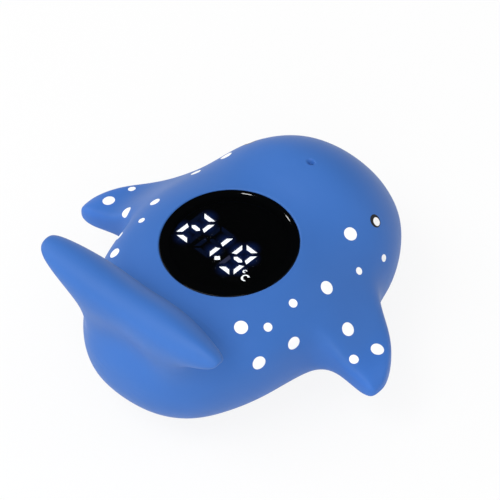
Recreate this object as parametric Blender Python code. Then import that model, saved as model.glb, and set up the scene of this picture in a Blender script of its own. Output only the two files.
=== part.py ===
"""Floating baby bath thermometer in the shape of a whale, in metres, +Z up.

A soft whale skin holds a round sealed module. The whale's head points to +Y and its flat underside stands at
z = 0. The module is modelled in its own frame: origin at the middle of the display face, local +Z out of the
face. It leans back with the whale's back and is turned a few degrees in the skin.
"""

import bpy
import bmesh
from math import cos, pi, radians, sin
from mathutils import Vector

# Running gap between touching pieces, and the gap between a light plug and its well
GAP = 0.0003
WELL_GAP = 0.0001

# Driving dimensions of the whale
BODY_LENGTH = 0.1000
BODY_WIDTH = 0.0680
FIN_SPAN = 0.1030
FLUKE_SPAN = 0.0660
OVERALL_HEIGHT = 0.0500
DISPLAY_HEIGHT = 0.0380
DISPLAY_Y = -0.0053
SKIN_WALL = 0.0025
BELLY_WALL = 0.0050
BLOWHOLE_Y = 0.0277
BLOWHOLE_WIDTH = 0.0022
BLOWHOLE_LENGTH_SHARE = 2 / 3
BLOWHOLE_DEPTH = 0.0012

# Where the first rows of the fins and of the tail leave the body, along the half length, and the angle of the
# fins' first column, in degrees down from the back
FIN_ALONG = 0.363
TAIL_ALONG = -0.615
FIN_ANGLE = 70

# Body cage, nose to tail: place along the half length, share of the half width, heights of the back, of the
# widest line and of the belly as shares of the display height, and how square the back is (1 is round, less
# is squarer)
BODY_SECTIONS = (
    (0.978, 0.250, 0.676, 0.507, 0.350, 1.00),
    (0.917, 0.444, 0.809, 0.505, 0.240, 1.00),
    (0.787, 0.667, 1.070, 0.550, 0.040, 1.00),
    (0.564, 0.868, 1.206, 0.560, -0.060, 1.00),
    (FIN_ALONG, 0.919, 1.078, 0.512, -0.065, 0.80),
    (0.085, 0.944, 1.067, 0.511, -0.065, 0.58),
    (-0.130, 0.945, 1.052, 0.550, -0.065, 0.52),
    (-0.420, 0.894, 0.998, 0.590, -0.065, 0.60),
    (TAIL_ALONG, 0.780, 0.938, 0.610, -0.040, 0.80),
    (-0.785, 0.671, 0.941, 0.590, 0.060, 1.00),
    (-0.918, 0.476, 0.861, 0.555, 0.212, 1.00),
    (-0.980, 0.265, 0.695, 0.552, 0.366, 1.00),
)
NOSE = (1.009, 0.512)
RUMP = (-0.992, 0.548)
COLUMN_ANGLES = (0, 36, FIN_ANGLE, 90, 110, 144, 180)
BELLY_SQUARENESS = 0.78

# Fin cage: reach as a share of the half span, middle of the chord, height, half chord, half thickness
FIN_SECTIONS = (
    (0.790, 0.0032, 0.0170, 0.0096, 0.0036),
    (0.920, -0.0004, 0.0164, 0.0067, 0.0042),
    (1.000, -0.0040, 0.0162, 0.0026, 0.0018),
)
# The patches of the cage that the fins and the tail grow from
FIN_RING = [section[0] for section in BODY_SECTIONS].index(FIN_ALONG)
FIN_COLUMN = COLUMN_ANGLES.index(FIN_ANGLE)
TAIL_RING = [section[0] for section in BODY_SECTIONS].index(TAIL_ALONG)
TAIL_COLUMN = COLUMN_ANGLES.index(0)

# Tail cage: share of the half fluke span, front and rear faces, heights at the middle, halfway and at the
# tip, the depth left at the tip, and how far the front and rear rows stay under the crown
TAIL_SECTIONS = (
    (0.525, -0.0343, -0.0488, 0.0400, 0.0398, 0.0378, 0.90, 0.0),
    (0.800, -0.0362, -0.0494, 0.0455, 0.0455, 0.0442, 0.85, 0.0008),
    (1.070, -0.0392, -0.0487, 0.0500, 0.0520, 0.0513, 0.75, 0.0030),
)
LOBE_BULGE = 0.0014
# How far the smoothed tail stays under its cage
SMOOTHING_LOSS = 0.0014

# Printed marks on the skin: (place, diameter)
DOTS = (
    ((0.0210, 0.0195, 0.0361), 0.0037),
    ((0.0280, 0.0248, 0.0274), 0.0021),
    ((0.0283, 0.0146, 0.0308), 0.0021),
    ((0.0276, 0.0023, 0.0338), 0.0037),
    ((0.0254, -0.0088, 0.0352), 0.0024),
    ((0.0201, -0.0237, 0.0342), 0.0037),
    ((0.0250, -0.0185, 0.0335), 0.0024),
    ((0.0303, -0.0142, 0.0275), 0.0037),
    ((0.0276, -0.0251, 0.0268), 0.0038),
    ((0.0365, 0.0006, 0.0253), 0.0037),
    ((0.0443, 0.0035, 0.0206), 0.0036),
    ((0.0422, -0.0036, 0.0210), 0.0026),
    ((-0.0455, -0.0023, 0.0204), 0.0034),
    ((-0.0435, 0.0046, 0.0208), 0.0021),
    ((-0.0332, -0.0059, 0.0278), 0.0033),
    ((-0.0270, -0.0046, 0.0345), 0.0029),
    ((-0.0249, -0.0123, 0.0349), 0.0019),
    ((-0.0282, -0.0175, 0.0307), 0.0027),
    ((-0.0242, -0.0240, 0.0321), 0.0031),
    ((-0.0272, 0.0122, 0.0324), 0.0029),
    ((-0.0242, 0.0212, 0.0336), 0.0034),
    ((-0.0280, 0.0248, 0.0274), 0.0021),
    ((-0.0303, -0.0142, 0.0245), 0.0037),
    ((-0.0276, -0.0280, 0.0228), 0.0038),
)
EYES = (((0.0217, 0.0285, 0.0344), 0.0037), ((-0.0217, 0.0285, 0.0344), 0.0037))
PUPILS = (((0.0219, 0.0287, 0.0341), 0.0024), ((-0.0219, 0.0287, 0.0341), 0.0024))
WHITE_INK = (0.9, 0.9, 0.9)
BLACK_INK = (0.005, 0.005, 0.006)

# Driving dimensions of the module
DISPLAY_TILT = radians(3.4)
MODULE_TURN = radians(-4.6)
MODULE_RECESS = 0.0015
LENS_DIAMETER = 0.0373
LENS_THICKNESS = 0.0018
LENS_EDGE = 0.0008
GASKET_WIDTH = 0.0015
GASKET_THICKNESS = 0.0006
CASE_DIAMETER = 0.0350
CASE_WALL = 0.0020
STACK_WALL = 0.0009
CASE_SPLIT = 0.0150
CASE_BASE = 0.0016
FLANGE_WIDTH = 0.0018
FLANGE_THICKNESS = 0.0015
TOP_FLANGE_DEPTH = 0.0045
LOW_FLANGE_RISE = 0.0035
SEAL_WIDTH = 0.0007
SEAL_THICKNESS = 0.0008
RIM_LIP = 0.0006

# Readout: seven-segment cells, all of them with light plugs; place, outer radius and width of the two open
# rings, and the angles in degrees between which each is drawn
DIGIT_HEIGHT = 0.0092
DIGIT_WIDTH = 0.00445
DIGIT_CENTRES = (-0.01184, -0.00483, 0.00420)
READOUT_Y = -0.0011
SEGMENT_THICKNESS = 0.00125
SEGMENT_SPACE = 0.0004
MIDDLE_REACH = 0.0015
POINT_PLACE = (-0.0002, -0.0045)
POINT_RADIUS = 0.0010
DEGREE_RING = ((0.0085, -0.0027), 0.00065, 0.00035, 40, 320)
UNIT_RING = ((0.0102, -0.0042), 0.0012, 0.00045, 50, 310)
BLOCK_TOP = 0.0024
BLOCK_THICKNESS = 0.0050
GUIDE_THICKNESS = 0.0010
BOARD_THICKNESS = 0.0012

# Battery well in the base
CELL_DIAMETER = 0.0160
CELL_THICKNESS = 0.0032
WELL_Y = -0.0025
WELL_WALL = 0.0024
WELL_ROOF = 0.0012
SPRING_SPACE = 0.0024
SPRING_RADIUS = 0.0030
SPRING_WIRE = 0.00025
SPRING_TURNS = 2
SPRING_STEPS = 12
SPRING_TAPER = 0.4
CELL_EDGE = 0.0003
CLIP_THICKNESS = 0.0003
CLIP_WIDTH = 0.0040
CLIP_FOOT = 0.7
DOOR_LIP = 0.0012
DOOR_THICKNESS = 0.0018
DOOR_INSET = 0.0002
DOOR_SEAL_THICKNESS = 0.0006
COIN_SLOT = (0.0120, 0.0016, 0.0008)

# Sensors and screws in the base
PROBE_Y = 0.0115
PROBE_RADIUS = 0.0020
PROBE_WALL = 0.0004
PROBE_REACH = 0.0008
# Shoulder inside the cap, as shares of its bore and of its reach
PROBE_SHOULDER = (0.7, 0.2)
PROBE_FLANGE = 0.0030
PROBE_SEAL_THICKNESS = 0.0008
BEAD_RADIUS = 0.0009
CONTACT_PLACES = ((-0.0072, 0.0112), (0.0072, 0.0112))
CONTACT_HEAD = (0.0015, 0.0006)
CONTACT_FACE = 0.7
CONTACT_SHANK = (0.0008, 0.0060)
SCREW_CIRCLE = 0.0147
SCREW_COUNT = 3
SCREW_BOSS = 0.0026
SCREW_HEAD = (0.0015, 0.0012)
SCREW_SHANK = 0.0008
SCREW_LENGTH = 0.0080
SCREW_BITE = 0.0035
# Screw slots, as shares of the head's radius
SLOT_LENGTH = 0.80
SLOT_WIDTH = 0.15
POST_LENGTH = 0.0042
# Leads: radius, how many times wider they end than they start, and how far they lean back towards the middle
LEAD_RADIUS = 0.0003
BEAD_LEAD_SPACE = 0.0006
BEAD_LEAD_SPREAD = 3
CONTACT_LEAD_SPREAD = 0.9
LEAD_LEAN = 0.0025
LEAD_STEPS = 6

# Parts on the underside of the board: place, radius, height. The drop of resin narrows to its face: the face's
# share of the radius, the shoulder's share of the height and the share of the height that stays upright
CONTROLLER = ((-0.0060, 0.0040), 0.0035, 0.0015)
DROP_FACE = 0.6
DROP_SHOULDER = 0.85
DROP_FOOT = 0.3
CAPACITOR = ((0.0060, 0.0030), 0.0020, 0.0052)

ROUND = 32
SMALL_ROUND = 12
TINY_ROUND = 8

LENS_RADIUS = LENS_DIAMETER / 2
CASE_RADIUS = CASE_DIAMETER / 2
BORE_RADIUS = CASE_RADIUS - CASE_WALL
STACK_RADIUS = CASE_RADIUS - STACK_WALL - GAP
MODULE_HEIGHT = (DISPLAY_HEIGHT - MODULE_RECESS) / cos(DISPLAY_TILT)
SEAT_DEPTH = LENS_THICKNESS + GASKET_THICKNESS + 2 * GAP
GUIDE_TOP = BLOCK_TOP + BLOCK_THICKNESS + GAP
BOARD_TOP = GUIDE_TOP + GUIDE_THICKNESS + GAP
BOARD_BOTTOM = BOARD_TOP + BOARD_THICKNESS
CELL_RADIUS = CELL_DIAMETER / 2
WELL_RADIUS = CELL_RADIUS + GAP
DOOR_RADIUS = WELL_RADIUS + DOOR_LIP
DOOR_TOP = DOOR_INSET + DOOR_THICKNESS
CELL_RISE = DOOR_TOP + GAP
WELL_RISE = CELL_RISE + CELL_THICKNESS + SPRING_SPACE
HOUSING_RADIUS = WELL_RADIUS + WELL_WALL
SCREW_PLACES = [(SCREW_CIRCLE * cos(radians(30 + 360 * k / SCREW_COUNT)),
                 SCREW_CIRCLE * sin(radians(30 + 360 * k / SCREW_COUNT))) for k in range(SCREW_COUNT)]


def material(name, colour, roughness, metallic=0.0, emission=0.0, alpha=1.0):
    made = bpy.data.materials.new(name)
    made.use_nodes = True
    shader = made.node_tree.nodes["Principled BSDF"]
    shader.inputs["Base Color"].default_value = (*colour, 1.0)
    shader.inputs["Roughness"].default_value = roughness
    shader.inputs["Metallic"].default_value = metallic
    shader.inputs["Alpha"].default_value = alpha
    if emission:
        shader.inputs["Emission Color"].default_value = (*colour, 1.0)
        shader.inputs["Emission Strength"].default_value = emission
    return made


def printed(surface, spots, ink):
    """Colours the surface inside each (place, diameter) spot with the ink, over what it has so far."""
    nodes = surface.node_tree.nodes
    link = surface.node_tree.links.new
    colour = nodes["Principled BSDF"].inputs["Base Color"]
    place = nodes.new("ShaderNodeTexCoord").outputs["Object"]
    inside = None
    for centre, diameter in spots:
        distance = nodes.new("ShaderNodeVectorMath")
        distance.operation = "DISTANCE"
        distance.inputs[1].default_value = centre
        link(place, distance.inputs[0])
        step = nodes.new("ShaderNodeMath")
        step.operation = "LESS_THAN"
        step.inputs[1].default_value = diameter / 2
        link(distance.outputs["Value"], step.inputs[0])
        if inside:
            most = nodes.new("ShaderNodeMath")
            most.operation = "MAXIMUM"
            link(inside, most.inputs[0])
            link(step.outputs[0], most.inputs[1])
            step = most
        inside = step.outputs[0]
    mix = nodes.new("ShaderNodeMix")
    mix.data_type = "RGBA"
    mix.inputs["A"].default_value = colour.default_value
    if colour.is_linked:
        link(colour.links[0].from_socket, mix.inputs["A"])
    mix.inputs["B"].default_value = (*ink, 1.0)
    link(inside, mix.inputs["Factor"])
    link(mix.outputs["Result"], colour)


def add_object(name, mesh, surface, parent=None):
    """Makes an object of the bmesh, faces out, smooth apart from its sharp edges."""
    bmesh.ops.recalc_face_normals(mesh, faces=mesh.faces)
    data = bpy.data.meshes.new(name)
    mesh.to_mesh(data)
    mesh.free()
    data.shade_smooth()
    data.set_sharp_from_angle(angle=radians(35))
    if surface:
        data.materials.append(surface)
    made = bpy.data.objects.new(name, data)
    bpy.context.scene.collection.objects.link(made)
    made.parent = parent
    return made


def hide_tool(tool):
    tool.hide_render = True
    tool.display_type = "WIRE"
    return tool


def boolean(target, tool, operation):
    step = target.modifiers.new(tool.name, "BOOLEAN")
    step.operation = operation
    step.solver = "EXACT"
    step.object = hide_tool(tool)


def cut(target, tool):
    boolean(target, tool, "DIFFERENCE")


def join(target, tool):
    boolean(target, tool, "UNION")


def turned_mesh(profile, segments, place=(0.0, 0.0)):
    """Spins (radius, height) points round the local Z axis; they end on the axis or close on themselves."""
    mesh = bmesh.new()
    points = [mesh.verts.new((radius, 0.0, height)) for radius, height in profile]
    pairs = list(zip(points, points[1:]))
    if profile[0][0] > 0.0:
        pairs.append((points[-1], points[0]))
    edges = [mesh.edges.new(pair) for pair in pairs]
    bmesh.ops.spin(mesh, geom=points + edges, cent=(0, 0, 0), axis=(0, 0, 1), angle=2 * pi, steps=segments,
                   use_merge=True)
    bmesh.ops.remove_doubles(mesh, verts=mesh.verts, dist=0.00001)
    bmesh.ops.translate(mesh, verts=mesh.verts, vec=(*place, 0.0))
    return mesh


def turned(name, profile, surface, parent, segments=ROUND, place=(0.0, 0.0)):
    return add_object(name, turned_mesh(profile, segments, place), surface, parent)


def ring_profile(inner, outer, low, high):
    return [(inner, low), (outer, low), (outer, high), (inner, high)]


def rod_profile(radius, low, high):
    return [(0.0, low), (radius, low), (radius, high), (0.0, high)]


def cylinder(name, radius, low, high, parent, segments=ROUND, place=(0.0, 0.0)):
    """A plain cylinder used as a tool for cutting or joining."""
    return turned(name, rod_profile(radius, low, high), None, parent, segments, place)


def prism(mesh, outline, low, high):
    """Adds a closed prism over an outline of (x, y) points to the bmesh."""
    bottom = [mesh.verts.new((x, y, low)) for x, y in outline]
    face = mesh.faces.new(bottom)
    raised = bmesh.ops.extrude_face_region(mesh, geom=[face], use_keep_orig=True)
    bmesh.ops.translate(mesh, verts=[item for item in raised["geom"] if isinstance(item, bmesh.types.BMVert)],
                        vec=(0.0, 0.0, high - low))


def body_cage(inset=0.0, belly_inset=0.0):
    """The right half of the body cage, its rings and its faces by (ring, column).

    The insets make the hollow.
    """
    mesh = bmesh.new()
    rings = []
    for along, width, back, waist, belly, back_square in BODY_SECTIONS:
        y = along * (BODY_LENGTH / 2 - inset)
        half = width * BODY_WIDTH / 2 - inset
        high = back * DISPLAY_HEIGHT - inset
        wide = waist * DISPLAY_HEIGHT
        low = max(belly, 0.0) * DISPLAY_HEIGHT + belly_inset if belly_inset else belly * DISPLAY_HEIGHT
        ring = []
        for column, angle in enumerate(map(radians, COLUMN_ANGLES)):
            square = BELLY_SQUARENESS if angle > pi / 2 else back_square
            x = half * sin(angle) ** square if 0 < column < len(COLUMN_ANGLES) - 1 else 0.0
            reach = abs(cos(angle)) ** square
            z = wide + (high - wide) * reach if angle < pi / 2 else wide - (wide - low) * reach
            ring.append(mesh.verts.new((x, y, z)))
        rings.append(ring)
    ends = []
    for along, high in (NOSE, RUMP):
        ends.append(mesh.verts.new((0.0, along * (BODY_LENGTH / 2 - inset), high * DISPLAY_HEIGHT)))
    faces = {}
    for i, (front, rear) in enumerate(zip(rings, rings[1:])):
        for k in range(len(front) - 1):
            faces[i, k] = mesh.faces.new((front[k], rear[k], rear[k + 1], front[k + 1]))
    for k in range(len(rings[0]) - 1):
        mesh.faces.new((ends[0], rings[0][k], rings[0][k + 1]))
        mesh.faces.new((ends[1], rings[-1][k + 1], rings[-1][k]))
    return mesh, rings, faces


def grow(mesh, rings, faces, ring, column, sections):
    """Replaces two by two faces at a ring and column by a limb of three by three point sections."""
    patch = [line[column:column + 3] for line in rings[ring:ring + 3]]
    gone = [faces[ring + i, column + k] for i in range(2) for k in range(2)]
    bmesh.ops.delete(mesh, geom=gone, context="FACES_KEEP_BOUNDARY")
    rim = ((0, 0), (0, 1), (0, 2), (1, 2), (2, 2), (2, 1), (2, 0), (1, 0))
    below = patch
    for section in sections:
        above = [[None] * 3 for _ in range(3)]
        for i, k in rim:
            above[i][k] = mesh.verts.new(section[i][k])
        for (i, k), (i_next, k_next) in zip(rim, rim[1:] + rim[:1]):
            face = (below[i][k], below[i_next][k_next], above[i_next][k_next], above[i][k])
            if any(vert.co.x > 0.00001 for vert in face):
                mesh.faces.new(face)
        below = above
    below[1][1] = mesh.verts.new(sections[-1][1][1])
    for i in range(2):
        for k in range(2):
            mesh.faces.new((below[i][k], below[i + 1][k], below[i + 1][k + 1], below[i][k + 1]))
    bmesh.ops.delete(mesh, geom=[edge for edge in mesh.edges if not edge.link_faces], context="EDGES")
    bmesh.ops.delete(mesh, geom=[vert for vert in mesh.verts if not vert.link_faces], context="VERTS")


def fin_grids():
    grids = []
    for reach, middle, height, chord, thick in FIN_SECTIONS:
        x = reach * FIN_SPAN / 2
        grids.append([[(x, middle + chord * (1 - i), height + thick * (1 - k)) for k in range(3)]
                      for i in range(3)])
    return grids


def tail_grids():
    grids = []
    lift = OVERALL_HEIGHT + SMOOTHING_LOSS - TAIL_SECTIONS[-1][4]
    for share, front, rear, *heights, tip_depth, crown in TAIL_SECTIONS:
        half = share * FLUKE_SPAN / 2
        grid = []
        for i in range(3):
            row = []
            for k, height in enumerate(heights):
                bulge = LOBE_BULGE * (1 - i) if k == 1 else 0.0
                depth = (rear - front) * (1.0 if k < 2 else tip_depth)
                row.append((half * k / 2, (front + rear) / 2 + bulge + depth * (i - 1) / 2,
                            height + lift - crown * abs(i - 1)))
            grid.append(row)
        grids.append(grid)
    return grids


def smoothed(name, mesh, surface, levels):
    made = add_object(name, mesh, surface)
    mirror = made.modifiers.new("other_side", "MIRROR")
    mirror.merge_threshold = 0.0001
    mirror.use_clip = True
    smooth = made.modifiers.new("smooth", "SUBSURF")
    smooth.levels = levels
    smooth.render_levels = levels
    return made


def back_height(body, y):
    """Height of the smoothed back over the middle plane at y."""
    graph = bpy.context.evaluated_depsgraph_get()
    graph.update()
    hit, place, _, _ = body.evaluated_get(graph).ray_cast(Vector((0.0, y, 1.0)), Vector((0.0, 0.0, -1.0)))
    return place.z if hit else DISPLAY_HEIGHT


def floor_tool():
    mesh = bmesh.new()
    half = BODY_LENGTH
    prism(mesh, [(-half, -half), (half, -half), (half, half), (-half, half)], -half, 0.0)
    return add_object("floor_plane", mesh, None)


def whale_skin(module):
    mesh, rings, faces = body_cage()
    grow(mesh, rings, faces, FIN_RING, FIN_COLUMN, fin_grids())
    grow(mesh, rings, faces, TAIL_RING, TAIL_COLUMN, tail_grids())
    vinyl = material("blue_vinyl", (0.062, 0.181, 0.546), 0.55)
    printed(vinyl, DOTS, WHITE_INK)
    printed(vinyl, EYES, BLACK_INK)
    printed(vinyl, PUPILS, WHITE_INK)
    skin = smoothed("whale_skin", mesh, vinyl, 2)
    dimple = bmesh.new()
    bmesh.ops.create_uvsphere(dimple, u_segments=12, v_segments=8, radius=1.0)
    bmesh.ops.scale(dimple, verts=dimple.verts,
                    vec=(BLOWHOLE_WIDTH / 2, BLOWHOLE_WIDTH / 2 * BLOWHOLE_LENGTH_SHARE, BLOWHOLE_DEPTH))
    bmesh.ops.translate(dimple, vec=(0.0, BLOWHOLE_Y, back_height(skin, BLOWHOLE_Y)), verts=dimple.verts)
    cut(skin, floor_tool())
    cut(skin, smoothed("hollow", body_cage(SKIN_WALL, BELLY_WALL)[0], None, 1))
    cut(skin, add_object("blowhole", dimple, None))
    over = BODY_LENGTH
    cut(skin, cylinder("lens_opening", LENS_RADIUS + GAP, -TOP_FLANGE_DEPTH - GAP, over, module))
    cut(skin, cylinder("module_room", LENS_RADIUS + FLANGE_WIDTH + GAP,
                       LOW_FLANGE_RISE - MODULE_HEIGHT - GAP, GAP - TOP_FLANGE_DEPTH, module))
    cut(skin, cylinder("base_opening", CASE_RADIUS + GAP, -over, LOW_FLANGE_RISE - MODULE_HEIGHT, module))
    return skin


def display_lens(module):
    edge = [(LENS_RADIUS - LENS_EDGE * (1 - sin(angle)), -LENS_EDGE * (1 - cos(angle)))
            for angle in (radians(30 * k) for k in range(4))]
    profile = [(0.0, 0.0)] + edge + [(LENS_RADIUS, -LENS_THICKNESS), (0.0, -LENS_THICKNESS)]
    turned("display_lens", profile, material("smoked_lens", (0.004, 0.004, 0.006), 0.05, alpha=0.9), module)
    top = -LENS_THICKNESS - GAP
    outer = LENS_RADIUS - GAP
    turned("lens_gasket", ring_profile(outer - GASKET_WIDTH, outer, top - GASKET_THICKNESS, top),
           material("black_foam", (0.02, 0.02, 0.02), 0.9), module)


def upper_case(module, surface):
    seat = LENS_RADIUS - GAP
    flange = LENS_RADIUS + FLANGE_WIDTH
    flange_low = -TOP_FLANGE_DEPTH - FLANGE_THICKNESS
    stack = STACK_RADIUS + GAP
    shoulder = -BOARD_BOTTOM - GAP
    case = turned("upper_case", [
        (stack, -SEAT_DEPTH), (seat, -SEAT_DEPTH), (seat, -TOP_FLANGE_DEPTH), (flange, -TOP_FLANGE_DEPTH),
        (flange, flange_low), (CASE_RADIUS, flange_low), (CASE_RADIUS, -CASE_SPLIT),
        (BORE_RADIUS, -CASE_SPLIT), (BORE_RADIUS, shoulder), (stack, shoulder),
    ], surface, module)
    for number, place in enumerate(SCREW_PLACES, 1):
        join(case, cylinder(f"post_{number}", SCREW_BOSS, -CASE_SPLIT, -CASE_SPLIT + POST_LENGTH, module,
                            SMALL_ROUND, place))
        cut(case, cylinder(f"post_hole_{number}", SCREW_SHANK + GAP, -CASE_SPLIT - GAP,
                           -CASE_SPLIT + SCREW_BITE + GAP, module, TINY_ROUND, place))


def lower_case(module, surface):
    base = -MODULE_HEIGHT
    step = -CASE_SPLIT - SEAL_THICKNESS - 2 * GAP
    flange = CASE_RADIUS + FLANGE_WIDTH
    low = base + LOW_FLANGE_RISE
    case = turned("lower_case", [
        (0.0, base), (CASE_RADIUS, base), (CASE_RADIUS, low), (flange, low), (flange, low + FLANGE_THICKNESS),
        (CASE_RADIUS, low + FLANGE_THICKNESS), (CASE_RADIUS, -CASE_SPLIT - GAP),
        (CASE_RADIUS - RIM_LIP, -CASE_SPLIT - GAP), (CASE_RADIUS - RIM_LIP, step), (BORE_RADIUS, step),
        (BORE_RADIUS, base + CASE_BASE), (0.0, base + CASE_BASE),
    ], surface, module)
    well = (0.0, WELL_Y)
    join(case, cylinder("well_housing", HOUSING_RADIUS, base + GAP, base + WELL_RISE + WELL_ROOF, module,
                        ROUND, well))
    for number, place in enumerate(SCREW_PLACES, 1):
        join(case, cylinder(f"boss_{number}", SCREW_BOSS, base + GAP, step - GAP, module, SMALL_ROUND,
                            place))
    over = BODY_LENGTH
    cut(case, cylinder("well", WELL_RADIUS, base - over, base + WELL_RISE, module, ROUND, well))
    ledge = base + DOOR_TOP + DOOR_SEAL_THICKNESS + 2 * GAP
    cut(case, cylinder("door_recess", DOOR_RADIUS + GAP, base - over, ledge, module, ROUND, well))
    clip = bmesh.new()
    deep = CLIP_THICKNESS + 3 * GAP
    half = CLIP_WIDTH / 2 + GAP
    prism(clip, [(-WELL_RADIUS - deep, WELL_Y - half), (-CELL_RADIUS / 2, WELL_Y - half),
                 (-CELL_RADIUS / 2, WELL_Y + half), (-WELL_RADIUS - deep, WELL_Y + half)],
          base + CELL_RISE, base + WELL_RISE)
    cut(case, add_object("clip_slot", clip, None, module))
    cut(case, cylinder("probe_hole", PROBE_RADIUS + GAP, base - over, base + CASE_BASE + GAP, module,
                       SMALL_ROUND, (0.0, PROBE_Y)))
    for number, place in enumerate(CONTACT_PLACES, 1):
        cut(case, cylinder(f"contact_hole_{number}", CONTACT_SHANK[0] + GAP, base - over,
                           base + CASE_BASE + GAP, module, TINY_ROUND, place))
    for number, place in enumerate(SCREW_PLACES, 1):
        cut(case, cylinder(f"head_room_{number}", SCREW_HEAD[0] + GAP, base - over, screw_seat(), module,
                           SMALL_ROUND, place))
        cut(case, cylinder(f"shank_room_{number}", SCREW_SHANK + GAP, base, 0.0, module, TINY_ROUND, place))


def screw_seat():
    """Height of the shoulder that the screw heads bear on."""
    return -CASE_SPLIT - (SCREW_LENGTH - SCREW_BITE)


def case_seal(module, rubber):
    top = -CASE_SPLIT - GAP
    inner = BORE_RADIUS + 2 * GAP
    turned("case_seal", ring_profile(inner, inner + SEAL_WIDTH, top - SEAL_THICKNESS, top), rubber, module)


def case_screws(module, steel):
    radius, height = SCREW_HEAD
    top = screw_seat() - GAP
    for number, place in enumerate(SCREW_PLACES, 1):
        screw = turned(f"case_screw_{number}", [
            (0.0, top - height), (radius, top - height), (radius, top), (SCREW_SHANK, top),
            (SCREW_SHANK, top + SCREW_LENGTH), (0.0, top + SCREW_LENGTH + SCREW_SHANK / 2),
        ], steel, module, TINY_ROUND, place)
        long = radius * SLOT_LENGTH
        wide = radius * SLOT_WIDTH
        for turn, (half_x, half_y) in (("long", (long, wide)), ("cross", (wide, long))):
            slot = bmesh.new()
            x, y = place
            prism(slot, [(x - half_x, y - half_y), (x + half_x, y - half_y), (x + half_x, y + half_y),
                         (x - half_x, y + half_y)], top - height - GAP, top - height / 2)
            cut(screw, add_object(f"{turn}_slot_{number}", slot, None, module))


def segment_outlines(centre_x, grow_by):
    """Outlines of the seven segments of one cell, widened by grow_by. The outer six are mitred."""
    half = SEGMENT_THICKNESS / 2 + grow_by
    space = SEGMENT_SPACE - grow_by * 2 ** 0.5
    side_x = DIGIT_WIDTH / 2
    top_y = DIGIT_HEIGHT / 2
    reach = MIDDLE_REACH + grow_by * 2 ** 0.5
    outlines = [[(-reach, 0.0), (half - reach, -half), (reach - half, -half), (reach, 0.0),
                 (reach - half, half), (half - reach, half)]]
    for way in (1, -1):
        outer = side_x + half - space
        inner = side_x - half - space
        outlines.append([(-inner, way * (top_y - half)), (inner, way * (top_y - half)),
                         (outer, way * (top_y + half)), (-outer, way * (top_y + half))])
        for side in (1, -1):
            outer_x = side * (side_x + half)
            inner_x = side * (side_x - half)
            outlines.append([(outer_x, way * space), (outer_x, way * (top_y + half - space)),
                             (inner_x, way * (top_y - half - space)), (inner_x, way * (space + half))])
    return [[(centre_x + x, READOUT_Y + y) for x, y in outline] for outline in outlines]


def disc_outline(place, radius, sides=4):
    return [(place[0] + radius * cos(2 * pi * k / sides), place[1] + radius * sin(2 * pi * k / sides))
            for k in range(sides)]


def ring_outline(ring, grow_by, sides=10):
    place, radius, stroke, first, last = ring
    start = radians(first) - grow_by / radius
    turn = radians(last) + grow_by / radius - start
    angles = [start + turn * k / sides for k in range(sides + 1)]
    outer = radius + grow_by
    inner = radius - stroke - grow_by
    outline = [(outer * cos(angle), outer * sin(angle)) for angle in angles]
    outline += [(inner * cos(angle), inner * sin(angle)) for angle in reversed(angles)]
    return [(place[0] + x, place[1] + y) for x, y in outline]


def readout_prisms(low, high, grow_by):
    mesh = bmesh.new()
    for centre_x in DIGIT_CENTRES:
        for outline in segment_outlines(centre_x, grow_by):
            prism(mesh, outline, low, high)
    prism(mesh, disc_outline(POINT_PLACE, POINT_RADIUS + grow_by), low, high)
    for ring in (DEGREE_RING, UNIT_RING):
        prism(mesh, ring_outline(ring, grow_by), low, high)
    return mesh


def readout(module):
    bottom = -BLOCK_TOP - BLOCK_THICKNESS
    block = turned("digit_block", rod_profile(STACK_RADIUS, bottom, -BLOCK_TOP),
                   material("black_case", (0.01, 0.01, 0.012), 0.5), module)
    cut(block, add_object("wells", readout_prisms(bottom - GAP, 0.0, WELL_GAP), None, module))
    guide = turned("light_guide", rod_profile(STACK_RADIUS, -GUIDE_TOP - GUIDE_THICKNESS, -GUIDE_TOP),
                   material("white_resin", (0.9, 0.95, 1.0), 0.4, emission=1.0), module)
    plugs = readout_prisms(-GUIDE_TOP - GUIDE_THICKNESS / 2, -BLOCK_TOP - GAP, 0.0)
    join(guide, add_object("plugs", plugs, None, module))


def circuit(module):
    turned("circuit_board", rod_profile(STACK_RADIUS, -BOARD_BOTTOM, -BOARD_TOP),
           material("green_board", (0.02, 0.16, 0.05), 0.5), module)
    top = -BOARD_BOTTOM - GAP
    place, radius, height = CONTROLLER
    turned("controller", [(0.0, top - height), (radius * DROP_FACE, top - height * DROP_SHOULDER),
                          (radius, top - height * DROP_FOOT), (radius, top), (0.0, top)],
           material("black_resin", (0.012, 0.012, 0.012), 0.35), module, SMALL_ROUND, place)
    place, radius, height = CAPACITOR
    turned("capacitor", rod_profile(radius, top - height, top),
           material("grey_sleeve", (0.09, 0.1, 0.12), 0.4), module, SMALL_ROUND, place)


def lead(name, start, end, surface, module):
    """A wire inside the module, from a point at the base up to the underside of the board."""
    curve = bpy.data.curves.new(name, "CURVE")
    curve.dimensions = "3D"
    curve.bevel_depth = LEAD_RADIUS
    curve.bevel_resolution = 1
    curve.use_fill_caps = True
    spline = curve.splines.new("POLY")
    spline.points.add(LEAD_STEPS)
    for step in range(LEAD_STEPS + 1):
        share = step / LEAD_STEPS
        ease = share * share * (3 - 2 * share)
        spline.points[step].co = (start[0] + (end[0] - start[0]) * ease,
                                  start[1] + (end[1] - start[1]) * ease,
                                  start[2] + (end[2] - start[2]) * share, 1.0)
    curve.materials.append(surface)
    made = bpy.data.objects.new(name, curve)
    bpy.context.scene.collection.objects.link(made)
    made.parent = module
    return made


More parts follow.
